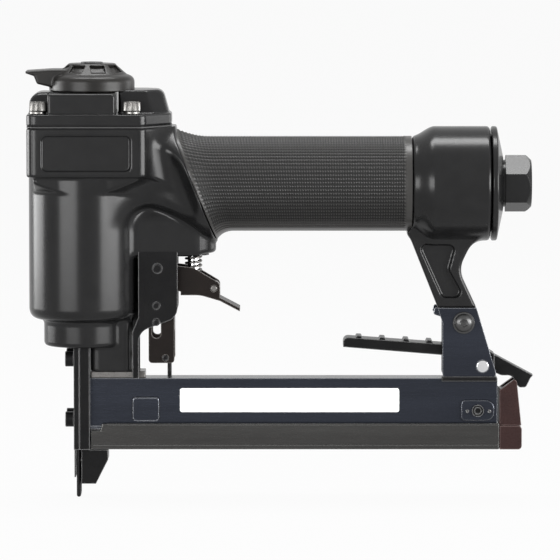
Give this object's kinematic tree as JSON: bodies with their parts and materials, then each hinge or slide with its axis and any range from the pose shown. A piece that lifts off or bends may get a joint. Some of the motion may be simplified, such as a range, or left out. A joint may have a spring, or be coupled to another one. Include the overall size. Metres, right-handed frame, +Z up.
{
  "type": "pneumatic upholstery stapler",
  "caption": "Black pneumatic stapler with a woven grip, swivelling exhaust deflector, sprung trigger and safety, and a slide-out staple magazine with a latch.",
  "frame": {"origin": "middle of the nose face that is pressed on the work, on the driver's axis", "axes": "+X from the nose to the air inlet along the magazine, +Z up along the driver's axis, away from the work"},
  "size_m": [0.2125, 0.049, 0.1828],
  "materials": {
    "cast_black": "satin",
    "grip_rubber": "matte, woven pattern",
    "seal_rubber": "matte",
    "plated_steel": "nickel plated",
    "bright_steel": "polished",
    "alloy": "machined",
    "bush_brass": "machined",
    "black_plastic": "satin",
    "blued_steel": "blued",
    "brown_steel": "brown oxide",
    "brown_plastic": "satin",
    "black_steel": "black oxide",
    "spring_steel": "bare"
  },
  "bodies": {
    "frame": {"housing": "cast_black", "handle_grip": "grip_rubber", "cylinder_cap": "cast_black", "cap_gasket": "seal_rubber", "cap_screws": "plated_steel", "cap_washers": "plated_steel", "cylinder_sleeve": "alloy", "sleeve_ring": "seal_rubber", "bumper": "seal_rubber", "head_valve_spring": "spring_steel", "deflector_screw": "black_steel", "end_cap": "cast_black", "end_cap_ring": "seal_rubber", "air_inlet": "black_steel", "valve_bush": "bush_brass", "valve_spring": "spring_steel", "trigger_bracket": "blued_steel", "trigger_pivot_pin": "black_steel", "bracket_pins": "black_steel", "nose_body": "blued_steel", "front_plate": "blued_steel", "nose_screws": "plated_steel", "magazine_rail": "blued_steel", "rail_tab": "plated_steel", "stop_plate": "blued_steel", "stop_screw": "black_steel", "rear_bracket": "blued_steel", "bracket_screw": "plated_steel", "latch_pin": "bright_steel"},
    "head_valve": {"head_valve": "alloy"},
    "piston": {"piston": "alloy", "piston_ring": "seal_rubber", "driver_blade": "spring_steel"},
    "deflector": {"exhaust_deflector": "black_plastic"},
    "valve_stem": {"valve_stem": "bright_steel"},
    "trigger": {"trigger": "brown_steel", "dog_pin": "spring_steel"},
    "trigger_dog": {"trigger_dog": "spring_steel"},
    "safety": {"safety_plate": "brown_steel", "safety_wire": "black_steel", "safety_rivet": "black_steel"},
    "slide": {"magazine_slide": "blued_steel", "staple_core": "spring_steel", "slide_end_cap": "brown_plastic", "pusher_rod": "spring_steel", "pusher_spring": "spring_steel"},
    "pusher": {"pusher": "spring_steel"},
    "latch": {"latch_lever": "black_steel"}
  },
  "joints": [
    {"name": "trigger_pull", "type": "hinge", "parent": "frame", "child": "trigger", "pos_m": [0.0311, 0, 0.0911], "axis": [0, -1, 0], "range_deg": [0, 8], "stiffness_Nm_per_rad": 0.6, "springref_deg": -5.73},
    {"name": "dog_tilt", "type": "hinge", "parent": "trigger", "child": "trigger_dog", "pos_m": [0.0546, 0, 0.0823], "axis": [0, 1, 0], "range_deg": [0, 4.2]},
    {"name": "valve_stem_lift", "type": "slide", "parent": "frame", "child": "valve_stem", "axis": [0, 0, 1], "range_m": [0, 0.0026], "deforming": ["valve_spring"]},
    {"name": "safety_lift", "type": "slide", "parent": "frame", "child": "safety", "axis": [0, 0, 1], "range_m": [0, 0.005], "stiffness_N_per_m": 300, "springref_m": -0.004},
    {"name": "piston_stroke", "type": "slide", "parent": "frame", "child": "piston", "axis": [0, 0, -1], "range_m": [0, 0.043]},
    {"name": "head_valve_lift", "type": "slide", "parent": "frame", "child": "head_valve", "axis": [0, 0, 1], "range_m": [0, 0.0025], "stiffness_N_per_m": 1500, "springref_m": -0.004, "deforming": ["head_valve_spring"]},
    {"name": "deflector_turn", "type": "hinge", "parent": "frame", "child": "deflector", "pos_m": [0.0036, 0, 0.17], "axis": [0, 0, 1], "continuous": true},
    {"name": "latch_release", "type": "hinge", "parent": "frame", "child": "latch", "pos_m": [0.1672, 0, 0.0496], "axis": [0, -1, 0], "range_deg": [0, 10], "stiffness_Nm_per_rad": 0.8, "springref_deg": -11.46},
    {"name": "slide_out", "type": "slide", "parent": "frame", "child": "slide", "axis": [1, 0, 0], "range_m": [0, 0.12]},
    {"name": "pusher_travel", "type": "slide", "parent": "slide", "child": "pusher", "axis": [1, 0, 0], "range_m": [0, 0.11], "stiffness_N_per_m": 60, "springref_m": -0.02, "deforming": ["pusher_spring"]}
  ],
  "couplings": [
    {"joint": "valve_stem_lift", "follows": "trigger_pull", "m_per_rad": 0.0175}
  ]
}
